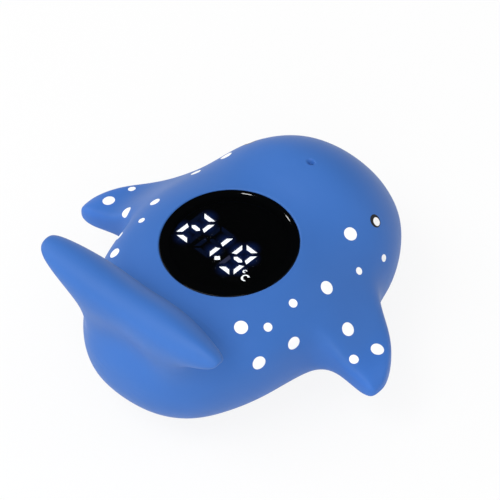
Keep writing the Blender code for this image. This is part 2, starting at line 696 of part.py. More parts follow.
def probe(module, steel, rubber):
    base = -MODULE_HEIGHT
    inner_face = base + CASE_BASE
    seal_top = inner_face + GAP + PROBE_SEAL_THICKNESS
    flange_low = seal_top + GAP
    flange_top = flange_low + PROBE_WALL
    tip = base - PROBE_REACH
    bore = PROBE_RADIUS - PROBE_WALL
    dome = [(PROBE_RADIUS * sin(angle), tip + PROBE_REACH * (1 - cos(angle)))
            for angle in (radians(30 * k) for k in range(4))]
    inner_dome = [(bore, base),
                  (bore * PROBE_SHOULDER[0], tip + PROBE_WALL + PROBE_REACH * PROBE_SHOULDER[1]),
                  (0.0, tip + PROBE_WALL)]
    flange = [(PROBE_RADIUS, flange_low), (PROBE_FLANGE, flange_low), (PROBE_FLANGE, flange_top),
              (bore, flange_top)]
    turned("probe_cap", dome + flange + inner_dome, steel, module, SMALL_ROUND, (0.0, PROBE_Y))
    turned("probe_seal", ring_profile(PROBE_RADIUS + GAP, PROBE_FLANGE, inner_face + GAP, seal_top),
           rubber, module, SMALL_ROUND, (0.0, PROBE_Y))
    bead = bmesh.new()
    bmesh.ops.create_uvsphere(bead, u_segments=10, v_segments=6, radius=BEAD_RADIUS)
    bead_z = tip + PROBE_WALL + GAP + BEAD_RADIUS
    bmesh.ops.translate(bead, vec=(0.0, PROBE_Y, bead_z), verts=bead.verts)
    add_object("thermistor", bead, material("bead_resin", (0.25, 0.06, 0.02), 0.3), module)
    copper = material("red_lead", (0.45, 0.02, 0.02), 0.5)
    board = -BOARD_BOTTOM - GAP
    for number, side in ((1, -1), (2, 1)):
        x = side * BEAD_LEAD_SPACE
        lead(f"thermistor_lead_{number}", (x, PROBE_Y, bead_z + BEAD_RADIUS + GAP),
             (x * BEAD_LEAD_SPREAD, PROBE_Y - LEAD_LEAN, board), copper, module)


def contacts(module, steel):
    base = -MODULE_HEIGHT
    head_radius, head_height = CONTACT_HEAD
    shank_radius, shank_length = CONTACT_SHANK
    head_top = base - GAP
    wire = material("blue_lead", (0.02, 0.06, 0.35), 0.5)
    for number, (x, y) in enumerate(CONTACT_PLACES, 1):
        turned(f"water_contact_{number}", [
            (0.0, head_top - head_height), (head_radius * CONTACT_FACE, head_top - head_height),
            (head_radius, head_top - head_height / 2), (head_radius, head_top), (shank_radius, head_top),
            (shank_radius, head_top + shank_length), (0.0, head_top + shank_length),
        ], steel, module, TINY_ROUND, (x, y))
        lead(f"contact_lead_{number}", (x, y, head_top + shank_length + GAP),
             (x * CONTACT_LEAD_SPREAD, y - LEAD_LEAN, -BOARD_BOTTOM - GAP), wire, module)


def battery(module, steel, rubber, plastic):
    base = -MODULE_HEIGHT
    well = (0.0, WELL_Y)
    low = base + CELL_RISE
    top = low + CELL_THICKNESS
    turned("coin_cell", [(0.0, low), (CELL_RADIUS - CELL_EDGE, low), (CELL_RADIUS, low + CELL_EDGE),
                         (CELL_RADIUS, top - CELL_EDGE), (CELL_RADIUS - CELL_EDGE, top), (0.0, top)],
           steel, module, ROUND, well)
    door = turned("battery_door", rod_profile(DOOR_RADIUS, base + DOOR_INSET, base + DOOR_TOP), plastic,
                  module, ROUND, well)
    slot = bmesh.new()
    long, wide, deep = COIN_SLOT
    prism(slot, [(-long / 2, WELL_Y - wide / 2), (long / 2, WELL_Y - wide / 2), (long / 2, WELL_Y + wide / 2),
                 (-long / 2, WELL_Y + wide / 2)], base - GAP, base + DOOR_INSET + deep)
    cut(door, add_object("coin_slot", slot, None, module))
    seal_low = base + DOOR_TOP + GAP
    seal_high = seal_low + DOOR_SEAL_THICKNESS
    turned("door_seal", ring_profile(WELL_RADIUS + GAP, DOOR_RADIUS, seal_low, seal_high), rubber, module,
           ROUND, well)
    spring(module, steel, top + GAP + SPRING_WIRE, base + WELL_RISE - GAP - SPRING_WIRE)
    clip(module, steel, low + 2 * GAP, base + WELL_RISE - GAP)


def spring(module, steel, low, high):
    curve = bpy.data.curves.new("cell_spring", "CURVE")
    curve.dimensions = "3D"
    curve.bevel_depth = SPRING_WIRE
    curve.bevel_resolution = 1
    curve.use_fill_caps = True
    points = curve.splines.new("POLY").points
    steps = SPRING_TURNS * SPRING_STEPS
    points.add(steps)
    for step in range(steps + 1):
        share = step / steps
        angle = 2 * pi * SPRING_TURNS * share
        radius = SPRING_RADIUS * (1 - SPRING_TAPER * share)
        points[step].co = (radius * cos(angle), WELL_Y + radius * sin(angle),
                           high + (low - high) * share, 1.0)
    curve.materials.append(steel)
    made = bpy.data.objects.new("cell_spring", curve)
    bpy.context.scene.collection.objects.link(made)
    made.parent = module


def clip(module, steel, low, high):
    """The bent strip that touches the cell's rim and turns in under the roof of the well."""
    mesh = bmesh.new()
    outer = -WELL_RADIUS - GAP - CLIP_THICKNESS
    inner = outer + CLIP_THICKNESS
    foot = -CELL_RADIUS * CLIP_FOOT
    half = CLIP_WIDTH / 2
    shape = [(outer, low), (inner, low), (inner, high - CLIP_THICKNESS), (foot, high - CLIP_THICKNESS),
             (foot, high), (outer, high)]
    face = mesh.faces.new([mesh.verts.new((x, WELL_Y - half, z)) for x, z in shape])
    pushed = bmesh.ops.extrude_face_region(mesh, geom=[face], use_keep_orig=True)
    bmesh.ops.translate(mesh, verts=[item for item in pushed["geom"] if isinstance(item, bmesh.types.BMVert)],
                        vec=(0.0, CLIP_WIDTH, 0.0))
    add_object("cell_clip", mesh, steel, module)


def main():
    for old in list(bpy.data.objects):
        bpy.data.objects.remove(old)
    module = bpy.data.objects.new("module", None)
    bpy.context.scene.collection.objects.link(module)
    module.rotation_mode = "ZYX"
    module.rotation_euler = (DISPLAY_TILT, 0.0, MODULE_TURN)
    module.location = (0.0, DISPLAY_Y, DISPLAY_HEIGHT)
    steel = material("stainless_steel", (0.62, 0.62, 0.63), 0.25, 1.0)
    rubber = material("black_rubber", (0.02, 0.02, 0.02), 0.8)
    plastic = material("blue_plastic", (0.05, 0.15, 0.5), 0.4)
    whale_skin(module)
    display_lens(module)
    upper_case(module, plastic)
    lower_case(module, plastic)
    case_seal(module, rubber)
    case_screws(module, steel)
    readout(module)
    circuit(module)
    probe(module, steel, rubber)
    contacts(module, steel)
    battery(module, steel, rubber, plastic)


main()
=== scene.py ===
"""Looks of a floating bath thermometer in the shape of a whale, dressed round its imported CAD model.

Everything is in metres, in the frame of the CAD model: the whale's head points to +Y and it rests on z = 0.
The sealed module has its own frame: origin at the middle of the display face, local +Z out of the face.
"""

from math import atan2, cos, pi, radians, sin, tan

import bmesh
import bpy
from bpy.props import FloatProperty, FloatVectorProperty, IntProperty, PointerProperty
from mathutils import Euler, Matrix, Vector
from mathutils.bvhtree import BVHTree


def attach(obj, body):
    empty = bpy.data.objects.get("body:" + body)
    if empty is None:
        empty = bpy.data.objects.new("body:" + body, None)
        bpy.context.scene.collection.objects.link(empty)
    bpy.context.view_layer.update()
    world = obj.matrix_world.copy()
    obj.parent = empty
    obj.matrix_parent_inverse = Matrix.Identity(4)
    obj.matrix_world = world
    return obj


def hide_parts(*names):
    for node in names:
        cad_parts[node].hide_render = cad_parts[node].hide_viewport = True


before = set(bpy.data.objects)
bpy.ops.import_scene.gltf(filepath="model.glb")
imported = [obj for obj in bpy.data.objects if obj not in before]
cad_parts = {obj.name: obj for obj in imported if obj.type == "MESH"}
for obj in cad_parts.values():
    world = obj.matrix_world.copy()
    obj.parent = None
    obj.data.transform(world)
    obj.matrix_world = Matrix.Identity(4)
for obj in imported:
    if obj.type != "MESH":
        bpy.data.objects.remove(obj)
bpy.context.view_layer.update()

bl_info = {
    "name": "Whale bath thermometer",
    "version": (1, 0, 0),
    "blender": (4, 5, 0),
    "location": "View3D > Sidebar > Whale",
    "description": "Builds the visible skin, display and finishes of a whale-shaped bath thermometer",
    "category": "Object",
}

MM = 0.001
GAP = 0.3 * MM
WELD = 0.001 * MM
MIDDLE_BAND = 0.01 * MM
SHARP_ANGLE = radians(35)

# Whale cage, nose to tail: place along the half length, share of the half width, heights of the back, of the
# widest line and of the belly as shares of the display height, and how square the back is (1 is round, less
# is squarer)
BODY_SECTIONS = (
    (0.978, 0.250, 0.676, 0.507, 0.350, 1.00),
    (0.917, 0.458, 0.822, 0.505, 0.240, 1.00),
    (0.787, 0.686, 1.088, 0.550, 0.040, 1.00),
    (0.564, 0.884, 1.216, 0.560, -0.060, 1.00),
    (0.363, 0.919, 1.078, 0.512, -0.065, 0.80),
    (0.085, 0.944, 1.067, 0.511, -0.065, 0.58),
    (-0.130, 0.945, 1.052, 0.550, -0.065, 0.52),
    (-0.420, 0.894, 0.998, 0.590, -0.065, 0.60),
    (-0.615, 0.780, 0.938, 0.610, -0.040, 0.80),
    (-0.785, 0.671, 0.941, 0.590, 0.060, 1.00),
    (-0.918, 0.476, 0.861, 0.555, 0.212, 1.00),
    (-0.980, 0.265, 0.695, 0.552, 0.366, 1.00),
)
NOSE = (1.009, 0.512)
RUMP = (-0.992, 0.548)
COLUMN_ANGLES = (0, 36, 70, 90, 110, 144, 180)
BELLY_SQUARENESS = 0.78
BELLY_INSET = 5.0 * MM
HOLLOW_SMOOTHNESS = 2

# Fin cage: reach as a share of the half span, then middle of the chord, height, half chord and half thickness
# in mm
FIN_SECTIONS = (
    (0.790, 3.2, 17.0, 9.6, 3.6),
    (0.920, -0.4, 16.4, 6.7, 4.2),
    (1.000, -4.0, 16.2, 2.6, 1.8),
)

# Tail cage: share of the half fluke span, then front and rear faces and heights at the middle, halfway and at
# the tip in mm, the depth left at the tip, and how far the front and rear rows stay under the crown in mm
TAIL_SECTIONS = (
    (0.525, -34.3, -48.78, 39.4, 39.2, 37.2, 0.90, 0.0),
    (0.800, -36.2, -49.38, 44.9, 44.9, 43.6, 0.85, 0.8),
    (1.070, -39.2, -48.68, 49.39, 51.39, 50.69, 0.75, 3.0),
)
LOBE_BULGE = 1.4 * MM

# Ring and column of the body cage at which the patch of each limb begins
FIN_PLACE = (4, 2)
TAIL_PLACE = (8, 0)

# The moulding is a little uneven: how far the tip of the right lobe sinks and its front goes back, how far
# the front of the left lobe comes forward, and how far the tip of the left fin goes back
LOBE_SINKS = 2.4 * MM
LOBE_BACK = 2.0 * MM
LEFT_LOBE_FORWARD = 0.8 * MM
LEFT_FIN_BACK = 1.3 * MM
LOBE_ROOT = (2.0 * MM, -29.0 * MM, 31.0 * MM)
LOBE_LENGTH = 34.0 * MM
LOBE_BLEND = 9.0 * MM
LOBE_REAR = -50.0 * MM
LOBE_DEPTH = 9.0 * MM
LEFT_FIN_ROOT = 32.0 * MM
LEFT_FIN_LENGTH = 18.0 * MM

# Blowhole: place on the middle line, half sizes across and along, depth, how many half widths round it get a
# finer mesh, and how often that mesh is divided
BLOWHOLE_Y = 27.7 * MM
BLOWHOLE = (1.45 * MM, 1.15 * MM, 1.5 * MM)
BLOWHOLE_REACH = 2.2
BLOWHOLE_CUTS = 2

# Room for the module in the skin, measured from the display face
CASE_RADIUS = 17.5 * MM
FLANGE_WIDTH = 1.8 * MM
TOP_FLANGE_DEPTH = 4.5 * MM
LOW_FLANGE_RISE = 3.5 * MM
MODULE_RECESS = 1.5 * MM
ROD_SEGMENTS = 96

# Opening over the lens: its edge is rounded at these angles, then goes on by shares of the rounding, and the
# skin round it rises to the display face over a band. What lies above FACE_LOW is the back of the whale
FACE_LOW = 30.0 * MM
RIM_SEGMENTS = 120
RIM_ANGLES = (0, 20, 40, 60, 75)
RIM_ENDS = ((1.1, 1.2), (1.1, 80.0))
RIM_BAND = 8.0 * MM
RIM_HEIGHT = 0.12 * MM
CAST_HEIGHT = 30.0 * MM

# Lens: a small rounding and, just inside it, a sloped step that catches the light
LENS_THICKNESS = 1.8 * MM
LENS_GAP = 0.08 * MM
LENS_EDGE = 0.10 * MM
LENS_EDGE_ANGLES = tuple(range(0, 91, 10))
LENS_STEP = (17.40 * MM, 17.68 * MM)
LENS_STEP_SLOPE = radians(10)
LENS_SHARP_ANGLE = radians(6)
LENS_SEGMENTS = 128
CLEAR_RADIUS = 16.2 * MM
LENS_CLEARNESS = 0.3

# Painted dots: place on the skin and diameter, in mm
DOTS = (
    (21.0, 19.5, 36.1, 3.7), (28.0, 24.8, 27.4, 2.1), (28.3, 14.6, 30.8, 2.1), (27.6, 2.3, 33.8, 3.7),
    (25.4, -8.8, 35.2, 2.4), (20.1, -23.7, 34.2, 3.7), (25.0, -18.5, 33.5, 2.4), (30.3, -14.2, 27.5, 3.7),
    (27.6, -25.1, 26.8, 3.8), (36.5, 0.6, 25.3, 3.7), (44.3, 3.5, 20.6, 3.6), (42.2, -3.6, 21.0, 2.6),
    (-45.5, -2.4, 20.4, 3.4), (-43.5, 4.7, 20.7, 2.1), (-36.8, -5.2, 24.3, 3.3), (-27.0, -4.6, 34.5, 2.9),
    (-24.9, -12.3, 34.9, 1.9), (-28.2, -17.5, 30.7, 2.7), (-24.2, -24.0, 32.1, 3.1), (-27.2, 12.2, 32.4, 2.9),
    (-24.2, 21.2, 33.6, 3.4), (-28.0, 24.8, 27.4, 2.1), (-30.3, -14.2, 24.5, 3.7), (-27.6, -28.0, 22.8, 3.8),
)

# Black ring and white middle of the right eye, in mm in the same way; the left eye mirrors it
EYE = (22.0, 28.6, 34.6, 3.7)
PUPIL = (22.2, 28.8, 34.3, 2.4)
PAINT_EDGE = 0.03 * MM

# Vinyl: size of its clouds, grain and pores, how much the clouds change its blue, and where painted light
# begins to make the fin tips a lighter blue, and how wide its blend is, measured from the middle of the body
VINYL_CLOUDS = 22.0 * MM
VINYL_GRAIN = 0.30 * MM
VINYL_PORES = 1.2 * MM
VINYL_UNEVENNESS = 0.07
PAINTED_LIGHT_START = 40.0 * MM
PAINTED_LIGHT_BLEND = 9.0 * MM

# Specks of dust: spacing, size as a share of it, how many of the places have one, and how strongly it shows
SPECK_SPACING = 7.0 * MM
SPECK_SIZE = 0.016
SPECK_CHANCE = 0.35
SPECK_STRENGTH = 0.45

# Readout: middle of each cell, its size, how far its segments reach sideways, the space between neighbours,
# the reach of the middle bar, and the segments that are lit in each (side, level; side 0 is a bar)
CELL_CENTRES = (-11.84 * MM, -4.83 * MM, 4.20 * MM)
CELL_SIZE = (4.45 * MM, 9.2 * MM)
READOUT_Y = -1.1 * MM
SEGMENT_REACH = 0.85 * MM
SEGMENT_PARTING = 0.85 * MM
MIDDLE_REACH = 1.75 * MM
LIT_SEGMENTS = (
    ((0, 2), (1, 1), (0, 0), (-1, -1), (0, -2)),
    ((1, 1), (1, -1)),
    ((0, 2), (-1, 1), (1, 1), (0, 0), (1, -1), (0, -2)),
)

# A segment that glows faintly (cell, side, level), its light and that of the dark and of the lit segments,
# and the blue glow painted as light on the black block round the lit ones
FAINT_SEGMENT = (2, -1, -1)
FAINT_LIGHT = (0.02, 0.022, 0.045)
UNLIT_LIGHT = (0.0012, 0.003, 0.012)
SEGMENT_LIGHT = 14.0
GLOW_LIGHT = (0.04, 0.14, 0.75)
GLOW_RADIUS = 3.4 * MM

# Circuit board: how many bricks of its track pattern there are to the metre, and the width of the tracks
TRACK_SCALE = 420.0
TRACK_WIDTH = 0.08

# Lamps: name, place and power
LAMPS = (
    ("top_softbox", (-0.15, -0.5, 0.85), 3.6),
    ("right_softbox", (0.5, -0.6, 0.5), 2.35),
    ("left_softbox", (-0.8, -0.3, 0.35), 2.15),
    ("low_softbox", (0.0, -0.9, 0.15), 0.84),
    ("front_softbox", (0.5, 0.5, 0.65), 0.75),
)
LAMP_SIZE = (0.6, 0.5)
LAMP_TARGET = (0.0, 0.0, 0.02)

# Two small lamps that glint on the step of the lens: their directions round it in degrees in its own frame,
# and their distance, size and power
GLINTS = (120.6, 73.6)
GLINT_LAMP = (0.8, 0.028, 0.030)

# Sky: light on matt surfaces, the heights between which its reflection darkens, and what is left overhead
SKY_LIGHT = 0.6
SKY_BAND = (0.05, 0.5)
SKY_REFLECTION = 0.02
WHITE = (1.0, 1.0, 1.0, 1.0)

# Floor: half its width, how far it lies under the whale, and the share of plain white that the camera sees
FLOOR_REACH = 6.0
FLOOR_GAP = 0.02 * MM
FLOOR_WHITE = 0.88

# Camera: turn from behind the whale to its right side, rise from the floor, width of the frame, and how far
# its middle lies right of and above the middle of the display
CAMERA_TURN = radians(41.0)
CAMERA_RISE = radians(46.8)
FRAME_WIDTH = 132.6 * MM
FRAME_SHIFT = (5.46 * MM, -1.94 * MM)
LENS_MM = 800
SENSOR_MM = 36
CLIP_RANGE = (0.1, 20.0)


class WhaleSizes(bpy.types.PropertyGroup):
    """Sizes of the visible whale."""
    body_length: FloatProperty(
        name="Body length", description="Nose to tail", default=0.1, unit="LENGTH")
    body_width: FloatProperty(
        name="Body width", description="Across the body, without fins", default=0.068, unit="LENGTH")
    fin_span: FloatProperty(
        name="Fin span", description="Across the fins", default=0.103, unit="LENGTH")
    fluke_span: FloatProperty(
        name="Fluke span", description="Across the tail", default=0.066, unit="LENGTH")
    display_height: FloatProperty(
        name="Display height", description="Middle of the display over the floor", default=0.038,
        unit="LENGTH")
    display_y: FloatProperty(
        name="Display place", description="Middle of the display along the body", default=-0.0053,
        unit="LENGTH")
    display_tilt: FloatProperty(
        name="Display tilt", description="Lean of the display towards the tail", default=radians(3.4),
        subtype="ANGLE")
    module_turn: FloatProperty(
        name="Module turn", description="Turn of the module in the skin", default=radians(-4.6),
        subtype="ANGLE")
    lens_diameter: FloatProperty(
        name="Lens diameter", description="Across the black lens", default=0.0373, unit="LENGTH")
    skin_wall: FloatProperty(
        name="Skin wall", description="Thickness of the vinyl", default=0.0025, unit="LENGTH")
    rim_round: FloatProperty(
        name="Rim rounding", description="Rounding of the vinyl round the lens", default=0.0005,
        unit="LENGTH")
    smoothness: IntProperty(
        name="Smoothness", description="Subdivisions of the skin", default=4, min=2, max=4)


class WhaleColours(bpy.types.PropertyGroup):
    """Colours of the finishes."""
    vinyl: FloatVectorProperty(
        name="Vinyl", description="Blue of the skin", subtype="COLOR", default=(0.036, 0.141, 0.462))
    # Painted light: the lighter blue that the fin tips are painted, standing in for more light falling on
    # them
    tips: FloatVectorProperty(
        name="Tips", description="Lighter blue painted on the fin tips as light", subtype="COLOR", default=(0.038, 0.155, 0.53))
    paint: FloatVectorProperty(
        name="Paint", description="White of the dots", subtype="COLOR", default=(0.95, 0.95, 0.95))
    light: FloatVectorProperty(
        name="Light", description="Lit segments", subtype="COLOR", default=(0.93, 0.97, 1.0))
    plastic: FloatVectorProperty(
        name="Plastic", description="Blue of the case", subtype="COLOR", default=(0.04, 0.14, 0.48))


class Value:
    """A number that varies over a surface. Arithmetic on it adds Math nodes."""

    def __init__(self, graph, socket):
        self.graph = graph
        self.socket = socket

    def math(self, operation, first, second=0.0, clamp=False):
        settings = {"operation": operation, "use_clamp": clamp}
        node = self.graph.add("ShaderNodeMath", settings, {0: first, 1: second})
        return Value(self.graph, node.outputs[0])

    def __add__(self, other):
        return self.math("ADD", self, other)

    def __sub__(self, other):
        return self.math("SUBTRACT", self, other)

    def __mul__(self, other):
        return self.math("MULTIPLY", self, other)

    def __rsub__(self, other):
        return self.math("SUBTRACT", other, self)

    __radd__ = __add__
    __rmul__ = __mul__

    def __abs__(self):
        return self.math("ABSOLUTE", self)

    def __lt__(self, other):
        return self.math("LESS_THAN", self, other)

    def __gt__(self, other):
        return self.math("GREATER_THAN", self, other)

    def over(self, other):
        return self.math("MAXIMUM", self, other)

    def clamped(self):
        return self.math("ADD", self, 0.0, clamp=True)

    def swing(self, amount):
        """Noise between 0 and 1 as a change of the given size about 0."""
        return (self - 0.5) * amount


def greatest(masks):
    """The greatest of several values at each point."""
    most = masks[0]
    for mask in masks[1:]:
        most = most.over(mask)
    return most


class Graph:
    """A tree of shader nodes, written node by node."""

    def __init__(self, tree):
        self.tree = tree

    def add(self, kind, settings=None, sockets=None):
        """Adds a node: its settings first, then the values or links of its sockets."""
        node = self.tree.nodes.new(kind)
        for key, value in (settings or {}).items():
            setattr(node, key, value)
        self.fill(node, sockets or {})
        return node

    def fill(self, node, sockets):
        for key, value in sockets.items():
            value = value.socket if isinstance(value, Value) else value
            if isinstance(value, bpy.types.NodeSocket):
                self.tree.links.new(value, node.inputs[key])
            else:
                node.inputs[key].default_value = value

    def split(self, place):
        """The three measures of a place."""
        node = self.add("ShaderNodeSeparateXYZ", None, {0: place})
        return [Value(self, output) for output in node.outputs]


class Finish(Graph):
    """One procedural material, written round a Principled shader."""

    def __init__(self, name, **numbers):
        self.material = bpy.data.materials.new(name)
        self.material.use_nodes = True
        super().__init__(self.material.node_tree)
        self.shader = self.tree.nodes["Principled BSDF"]
        self.place = self.add("ShaderNodeTexCoord").outputs["Object"]
        for key, value in numbers.items():
            self.set({key.replace("_", " ").title().replace("Ior", "IOR"): value})

    def set(self, sockets):
        self.fill(self.shader, sockets)

    def noise(self, size, detail=2.0, place=None):
        """Cloudy noise with features of about the given size."""
        node = self.add("ShaderNodeTexNoise", None, {
            "Vector": place or self.place, "Scale": 1 / size, "Detail": detail, "Roughness": 0.5})
        return Value(self, node.outputs["Fac"])

    def distance(self, point, place=None):
        node = self.add("ShaderNodeVectorMath", {"operation": "DISTANCE"}, {0: place or self.place, 1: point})
        return Value(self, node.outputs["Value"])

    def spot(self, x, y, z, diameter):
        """1 inside a round spot of paint, 0 outside it; all in mm."""
        inside = diameter / 2 * MM - self.distance((x * MM, y * MM, z * MM))
        return (inside * (1 / PAINT_EDGE) + 0.5).clamped()

    def mix(self, share, first, second):
        """Goes from the first colour to the second."""
        node = self.add("ShaderNodeMix", {"data_type": "RGBA"}, {0: share})
        for key, value in ((6, first), (7, second)):
            self.fill(node, {key: value if isinstance(value, bpy.types.NodeSocket) else (*value, 1.0)})
        return node.outputs[2]

    def bump(self, height, strength, depth):
        node = self.add("ShaderNodeBump", None, {"Height": height, "Strength": strength, "Distance": depth})
        self.set({"Normal": node.outputs["Normal"]})

    def module_place(self):
        """Places measured in the module's own frame."""
        matrix = module_matrix()
        node = self.add("ShaderNodeMapping", {"vector_type": "TEXTURE"}, {
            "Vector": self.place, "Location": matrix.translation, "Rotation": matrix.to_euler("XYZ")})
        return node.outputs["Vector"]


def module_matrix():
    """The module's own frame."""
    sizes = bpy.context.scene.whale_sizes
    turn = Euler((sizes.display_tilt, 0.0, sizes.module_turn), "ZYX").to_matrix().to_4x4()
    return Matrix.Translation((0.0, sizes.display_y, sizes.display_height)) @ turn


def shade(data, sharp):
    data.shade_smooth()
    data.set_sharp_from_angle(angle=sharp)


def piece(name, mesh, material=None, merge=True, sharp=SHARP_ANGLE):
    """Makes an object of the bmesh, at the origin, faces out and smooth apart from its sharp edges."""
    if merge:
        bmesh.ops.remove_doubles(mesh, verts=mesh.verts, dist=WELD)
        bmesh.ops.recalc_face_normals(mesh, faces=mesh.faces)
    data = bpy.data.meshes.new(name)
    mesh.to_mesh(data)
    mesh.free()
    shade(data, sharp)
    if material:
        data.materials.append(material)
    made = bpy.data.objects.new(name, data)
    bpy.context.scene.collection.objects.link(made)
    return made


def turned(profile, segments):
    """Spins (radius, height) points round the module's own Z axis; they end on the axis."""
    mesh = bmesh.new()
    points = [mesh.verts.new((radius, 0.0, height)) for radius, height in profile]
    edges = [mesh.edges.new(pair) for pair in zip(points, points[1:])]
    bmesh.ops.spin(mesh, geom=points + edges, cent=(0, 0, 0), axis=(0, 0, 1), angle=2 * pi, steps=segments,
                   use_merge=True)
    bmesh.ops.remove_doubles(mesh, verts=mesh.verts, dist=WELD)
    bmesh.ops.recalc_face_normals(mesh, faces=mesh.faces)
    bmesh.ops.transform(mesh, matrix=module_matrix(), verts=mesh.verts)
    return mesh


def rod(name, radius, low, high):
    """A plain cylinder along the module's own Z axis, used as a tool for cutting."""
    return piece(name, turned([(0.0, low), (radius, low), (radius, high), (0.0, high)], ROD_SEGMENTS))


def evaluated(source):
    """The object with its modifiers worked out, at this moment."""
    graph = bpy.context.evaluated_depsgraph_get()
    graph.update()
    return source.evaluated_get(graph)


def cut(target, tools):
    """Subtracts the tools from the target and applies the result."""
    for tool in tools:
        step = target.modifiers.new(tool.name, "BOOLEAN")
        step.operation = "DIFFERENCE"
        step.solver = "EXACT"
        step.object = tool
    data = bpy.data.meshes.new_from_object(evaluated(target))
    target.modifiers.clear()
    old = target.data
    target.data = data
    bpy.data.meshes.remove(old)
    for tool in tools:
        bpy.data.objects.remove(tool)


def dress(finish, *names):
    """Gives CAD nodes a finish."""
    for name in names:
        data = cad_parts[name].data
        data.materials.clear()
        data.materials.append(finish.material)


def body_cage(inset=0.0, belly_inset=0.0):
    """The right half of the body cage and its rings of points; the insets make the hollow."""
    sizes = bpy.context.scene.whale_sizes
    mesh = bmesh.new()
    mesh.verts.layers.int.new("limb_place")
    columns = len(COLUMN_ANGLES)
    made = bmesh.ops.create_grid(
        mesh, x_segments=columns - 1, y_segments=len(BODY_SECTIONS) - 1, size=1.0)["verts"]
    made.sort(key=lambda vert: (-round(vert.co.y, 4), round(vert.co.x, 4)))
    rings = [made[start:start + columns] for start in range(0, len(made), columns)]
    half_length = sizes.body_length / 2 - inset
    unit = sizes.display_height
    for ring, (along, width, back, waist, belly, back_square) in zip(rings, BODY_SECTIONS):
        half = width * sizes.body_width / 2 - inset
        high = back * unit - inset
        wide = waist * unit
        low = max(belly, 0.0) * unit + belly_inset if belly_inset else belly * unit
        for column, (vert, angle) in enumerate(zip(ring, map(radians, COLUMN_ANGLES))):
            square = BELLY_SQUARENESS if angle > pi / 2 else back_square
            x = half * sin(angle) ** square if 0 < column < columns - 1 else 0.0
            reach = abs(cos(angle)) ** square
            z = wide + (high - wide) * reach if angle < pi / 2 else wide - (wide - low) * reach
            vert.co = (x, along * half_length, z)
    for ring, (along, height) in ((rings[0], NOSE), (rings[-1], RUMP)):
        members = set(ring)
        rim = [edge for edge in mesh.edges if edge.verts[0] in members and edge.verts[1] in members]
        grown = bmesh.ops.extrude_edge_only(mesh, edges=rim)["geom"]
        tip = [item for item in grown if isinstance(item, bmesh.types.BMVert)]
        bmesh.ops.pointmerge(mesh, verts=tip, merge_co=(0.0, along * half_length, height * unit))
    return mesh, rings


def fin_grids(span):
    """Three by three points of the fin at each of its sections."""
    grids = []
    for reach, middle, height, chord, thick in FIN_SECTIONS:
        x = reach * span / 2
        grids.append([[Vector((x, (middle + chord * (1 - i)) * MM, (height + thick * (1 - k)) * MM))
                       for k in range(3)] for i in range(3)])
    return grids


def tail_grids(span):
    """Three by three points of the right half of the tail at each of its sections."""
    grids = []
    for share, front, rear, *heights, tip_depth, crown in TAIL_SECTIONS:
        grid = []
        for i in range(3):
            row = []
            for k, height in enumerate(heights):
                bulge = LOBE_BULGE * (1 - i) if k == 1 else 0.0
                depth = (rear - front) * (1.0 if k < 2 else tip_depth)
                y = ((front + rear) / 2 + depth * (i - 1) / 2) * MM + bulge
                row.append(Vector((share * span / 2 * k / 2, y, (height - crown * abs(i - 1)) * MM)))
            grid.append(row)
        grids.append(grid)
    return grids


def limb(mesh, rings, place, grids):
    """Draws four faces of the cage out through grids of three by three points."""
    marks = mesh.verts.layers.int["limb_place"]
    ring, column = place
    patch = [line[column:column + 3] for line in rings[ring:ring + 3]]
    for i, line in enumerate(patch):
        for k, vert in enumerate(line):
            vert[marks] = 3 * i + k + 1
    inside = {vert for line in patch for vert in line}
    faces = [face for face in mesh.faces if all(vert in inside for vert in face.verts)]
    for grid in grids:
        edges = list({edge for face in faces for edge in face.edges})
        grown = bmesh.ops.extrude_face_region(mesh, geom=faces + edges)["geom"]
        faces = [item for item in grown if isinstance(item, bmesh.types.BMFace)]
        for item in grown:
            if isinstance(item, bmesh.types.BMVert):
                i, k = divmod(item[marks] - 1, 3)
                item.co = grid[i][k]
    flat = [face for face in mesh.faces if all(abs(vert.co.x) < MIDDLE_BAND for vert in face.verts)]
    bmesh.ops.delete(mesh, geom=flat, context="FACES")


def mirrored(name, mesh, levels):
    """A smoothed object from the right half of a cage."""
    half = mesh.verts[:] + mesh.edges[:] + mesh.faces[:]
    bmesh.ops.mirror(mesh, geom=half, axis="X", merge_dist=MIDDLE_BAND)
    made = piece(name, mesh)
    smooth = made.modifiers.new("smooth", "SUBSURF")
    smooth.levels = levels
    smooth.render_levels = levels
    return made


def smoothed_whale():
    """A bmesh of the whole smoothed whale, before its hollow and openings."""
    sizes = bpy.context.scene.whale_sizes
    mesh, rings = body_cage()
    limb(mesh, rings, FIN_PLACE, fin_grids(sizes.fin_span))
    limb(mesh, rings, TAIL_PLACE, tail_grids(sizes.fluke_span))
    cage = mirrored("whale_cage", mesh, sizes.smoothness)
    data = bpy.data.meshes.new_from_object(evaluated(cage))
    whale = bmesh.new()
    whale.from_mesh(data)
    bpy.data.meshes.remove(data)
    bpy.data.objects.remove(cage)
    return whale


def ease(share):
    """A smooth step from 0 to 1."""
    share = min(max(share, 0.0), 1.0)
    return share * share * (3 - 2 * share)


def lean(mesh):
    """Gives the lobes and the left fin the small unevenness of the moulding."""
    for vert in mesh.verts:
        x, y, z = vert.co
        if y < LOBE_ROOT[1] and z > LOBE_ROOT[2]:
            share = ease((abs(x) - LOBE_ROOT[0]) / LOBE_LENGTH) * ease((z - LOBE_ROOT[2]) / LOBE_BLEND)
            front = share * ease((y - LOBE_REAR) / LOBE_DEPTH)
            if x > 0.0:
                vert.co.z -= LOBE_SINKS * share
                vert.co.y -= LOBE_BACK * front
            else:
                vert.co.y += LEFT_LOBE_FORWARD * front
        vert.co.y -= LEFT_FIN_BACK * ease((-x - LEFT_FIN_ROOT) / LEFT_FIN_LENGTH)


